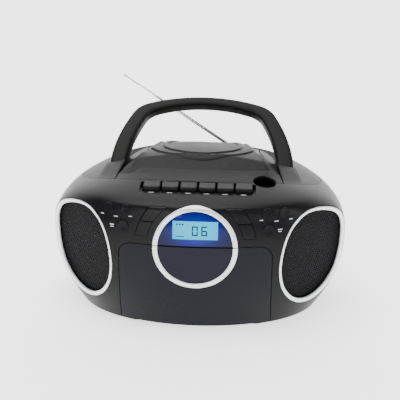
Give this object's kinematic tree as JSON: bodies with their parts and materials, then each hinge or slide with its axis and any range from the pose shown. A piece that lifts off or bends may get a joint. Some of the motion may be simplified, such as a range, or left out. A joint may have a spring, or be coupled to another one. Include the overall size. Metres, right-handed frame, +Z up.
{
  "type": "portable cd cassette radio",
  "caption": "Oval portable CD and cassette radio with angled speakers, lit display, top disc lid, sprung keys, swing handle and telescopic aerial.",
  "frame": {"origin": "centre of the footprint's bounding box, on the surface the feet stand on", "axes": "+X to the right seen from the front, +Y to the rear, +Z up; the display and cassette door face -Y"},
  "size_m": [0.3338, 0.2292, 0.241],
  "materials": {
    "cabinet": "satin charcoal moulded shell",
    "top": "satin charcoal top cover",
    "door": "satin blue-grey black door",
    "inlay": "smooth blue-grey inlay",
    "handle": "fine textured olive black",
    "controls": "satin black keys and buttons",
    "ring": "silver lacquered trim",
    "grille": "perforated sheet, black",
    "cone": "paper cone and steel basket",
    "lens": "dark tinted window",
    "screen": "emissive cyan liquid crystal display",
    "rubber": "matt",
    "chrome": "polished tube",
    "steel": "zinc plated",
    "moving": "natural black acetal",
    "reel": "white acetal",
    "board": "green laminate with parts",
    "brass": "turned"
  },
  "bodies": {
    "cabinet": {"front_cabinet": "cabinet", "rear_cabinet": "cabinet", "top_cabinet": "top", "foot_front_left": "rubber", "foot_front_right": "rubber", "foot_rear_left": "rubber", "foot_rear_right": "rubber", "ring_upper": "ring", "display_window": "lens", "display_module": "screen", "speaker_ring_left": "ring", "speaker_grille_left": "grille", "speaker_driver_left": "cone", "speaker_ring_right": "ring", "speaker_grille_right": "grille", "speaker_driver_right": "cone", "handle_pin_left": "steel", "handle_pin_right": "steel", "disc_chassis": "steel", "tape_chassis": "steel", "tape_motor": "steel", "drive_belt": "rubber", "control_board": "board", "main_board": "board", "mains_transformer": "steel", "mains_inlet": "moving"},
    "door": {"cassette_door": "door", "ring_lower": "ring", "door_inlay": "inlay"},
    "lid": {"disc_lid": "top"},
    "clamp": {"disc_clamp": "moving"},
    "turntable": {"disc_turntable": "moving"},
    "sled": {"laser_sled": "moving"},
    "handle": {"handle": "handle"},
    "battery_cover": {"battery_cover": "cabinet"},
    "aerial_swivel": {"aerial_swivel": "steel"},
    "aerial_lower": {"aerial_lower": "chrome"},
    "aerial_middle": {"aerial_middle": "chrome"},
    "aerial_tip": {"aerial_tip": "chrome"},
    "flywheel": {"capstan_flywheel": "steel"},
    "pulley": {"motor_pulley": "brass"},
    "reel_left": {"reel_spindle_left": "reel"},
    "reel_right": {"reel_spindle_right": "reel"},
    "key_record": {"key_record": "controls"},
    "key_play": {"key_play": "controls"},
    "key_rewind": {"key_rewind": "controls"},
    "key_forward": {"key_forward": "controls"},
    "key_stop": {"key_stop": "controls"},
    "key_pause": {"key_pause": "controls"},
    "button_outer_left": {"button_outer_left": "controls"},
    "button_inner_left": {"button_inner_left": "controls"},
    "button_lower_left": {"button_lower_left": "controls"},
    "button_sector_lower_left": {"button_sector_lower_left": "controls"},
    "button_sector_upper_left": {"button_sector_upper_left": "controls"},
    "button_outer_right": {"button_outer_right": "controls"},
    "button_inner_right": {"button_inner_right": "controls"},
    "button_lower_right": {"button_lower_right": "controls"},
    "button_sector_lower_right": {"button_sector_lower_right": "controls"},
    "button_sector_upper_right": {"button_sector_upper_right": "controls"}
  },
  "joints": [
    {"name": "handle_swing", "type": "hinge", "parent": "cabinet", "child": "handle", "pos_m": [0, 0.0052, 0.1512], "axis": [-1, 0, 0], "range_deg": [-24, 34]},
    {"name": "lid_open", "type": "hinge", "parent": "cabinet", "child": "lid", "pos_m": [0, 0.071, 0.156], "axis": [-1, 0, 0], "range_deg": [0, 36]},
    {"name": "clamp_spin", "type": "hinge", "parent": "lid", "child": "clamp", "pos_m": [0, 0.008, 0.16], "axis": [0, 0, 1], "continuous": true},
    {"name": "turntable_spin", "type": "hinge", "parent": "cabinet", "child": "turntable", "pos_m": [0, 0.008, 0.15], "axis": [0, 0, 1], "continuous": true},
    {"name": "sled_travel", "type": "slide", "parent": "cabinet", "child": "sled", "axis": [0, -1, 0], "range_m": [-0.008, 0.022]},
    {"name": "door_open", "type": "hinge", "parent": "cabinet", "child": "door", "pos_m": [0, -0.098, 0.014], "axis": [1, 0, 0], "range_deg": [0, 25]},
    {"name": "battery_cover_slide", "type": "slide", "parent": "cabinet", "child": "battery_cover", "axis": [0, 1, 0], "range_m": [0, 0.008]},
    {"name": "key_record_press", "type": "slide", "parent": "cabinet", "child": "key_record", "axis": [0, 0, -1], "range_m": [0, 0.005], "stiffness_N_per_m": 300, "springref_m": -0.002},
    {"name": "key_play_press", "type": "slide", "parent": "cabinet", "child": "key_play", "axis": [0, 0, -1], "range_m": [0, 0.005], "stiffness_N_per_m": 300, "springref_m": -0.002},
    {"name": "key_rewind_press", "type": "slide", "parent": "cabinet", "child": "key_rewind", "axis": [0, 0, -1], "range_m": [0, 0.005], "stiffness_N_per_m": 300, "springref_m": -0.002},
    {"name": "key_forward_press", "type": "slide", "parent": "cabinet", "child": "key_forward", "axis": [0, 0, -1], "range_m": [0, 0.005], "stiffness_N_per_m": 300, "springref_m": -0.002},
    {"name": "key_stop_press", "type": "slide", "parent": "cabinet", "child": "key_stop", "axis": [0, 0, -1], "range_m": [0, 0.005], "stiffness_N_per_m": 300, "springref_m": -0.002},
    {"name": "key_pause_press", "type": "slide", "parent": "cabinet", "child": "key_pause", "axis": [0, 0, -1], "range_m": [0, 0.005], "stiffness_N_per_m": 300, "springref_m": -0.002},
    {"name": "button_outer_left_press", "type": "slide", "parent": "cabinet", "child": "button_outer_left", "axis": [0, 1, 0], "range_m": [0, 0.0012], "stiffness_N_per_m": 500, "springref_m": -0.0006},
    {"name": "button_inner_left_press", "type": "slide", "parent": "cabinet", "child": "button_inner_left", "axis": [0, 1, 0], "range_m": [0, 0.0012], "stiffness_N_per_m": 500, "springref_m": -0.0006},
    {"name": "button_lower_left_press", "type": "slide", "parent": "cabinet", "child": "button_lower_left", "axis": [0, 1, 0], "range_m": [0, 0.0012], "stiffness_N_per_m": 500, "springref_m": -0.0006},
    {"name": "button_sector_lower_left_press", "type": "slide", "parent": "cabinet", "child": "button_sector_lower_left", "axis": [0, 1, 0], "range_m": [0, 0.0012], "stiffness_N_per_m": 500, "springref_m": -0.0006},
    {"name": "button_sector_upper_left_press", "type": "slide", "parent": "cabinet", "child": "button_sector_upper_left", "axis": [0, 1, 0], "range_m": [0, 0.0012], "stiffness_N_per_m": 500, "springref_m": -0.0006},
    {"name": "button_outer_right_press", "type": "slide", "parent": "cabinet", "child": "button_outer_right", "axis": [0, 1, 0], "range_m": [0, 0.0012], "stiffness_N_per_m": 500, "springref_m": -0.0006},
    {"name": "button_inner_right_press", "type": "slide", "parent": "cabinet", "child": "button_inner_right", "axis": [0, 1, 0], "range_m": [0, 0.0012], "stiffness_N_per_m": 500, "springref_m": -0.0006},
    {"name": "button_lower_right_press", "type": "slide", "parent": "cabinet", "child": "button_lower_right", "axis": [0, 1, 0], "range_m": [0, 0.0012], "stiffness_N_per_m": 500, "springref_m": -0.0006},
    {"name": "button_sector_lower_right_press", "type": "slide", "parent": "cabinet", "child": "button_sector_lower_right", "axis": [0, 1, 0], "range_m": [0, 0.0012], "stiffness_N_per_m": 500, "springref_m": -0.0006},
    {"name": "button_sector_upper_right_press", "type": "slide", "parent": "cabinet", "child": "button_sector_upper_right", "axis": [0, 1, 0], "range_m": [0, 0.0012], "stiffness_N_per_m": 500, "springref_m": -0.0006},
    {"name": "aerial_turn", "type": "hinge", "parent": "cabinet", "child": "aerial_swivel", "pos_m": [0.072, 0.1065, 0.1242], "axis": [0, 1, 0], "range_deg": [-33.4, 113]},
    {"name": "aerial_lean", "type": "hinge", "parent": "aerial_swivel", "child": "aerial_lower", "pos_m": [0.072, 0.1065, 0.1242], "axis": [-0.5505, 0, -0.8348], "range_deg": [0, 80]},
    {"name": "aerial_middle_slide", "type": "slide", "parent": "aerial_lower", "child": "aerial_middle", "axis": [-0.8348, 0, 0.5505], "range_m": [-0.023, 0.1]},
    {"name": "aerial_tip_slide", "type": "slide", "parent": "aerial_middle", "child": "aerial_tip", "axis": [-0.8348, 0, 0.5505], "range_m": [-0.014, 0.105]},
    {"name": "flywheel_spin", "type": "hinge", "parent": "cabinet", "child": "flywheel", "pos_m": [0.03, -0.07, 0.026], "axis": [0, 1, 0], "continuous": true},
    {"name": "pulley_spin", "type": "hinge", "parent": "cabinet", "child": "pulley", "pos_m": [-0.034, -0.07, 0.026], "axis": [0, 1, 0], "continuous": true},
    {"name": "reel_left_spin", "type": "hinge", "parent": "cabinet", "child": "reel_left", "pos_m": [-0.02125, -0.08, 0.056], "axis": [0, 1, 0], "continuous": true},
    {"name": "reel_right_spin", "type": "hinge", "parent": "cabinet", "child": "reel_right", "pos_m": [0.02125, -0.08, 0.056], "axis": [0, 1, 0], "continuous": true}
  ],
  "couplings": [
    {"joint": "pulley_spin", "follows": "flywheel_spin", "ratio": 3.6}
  ]
}
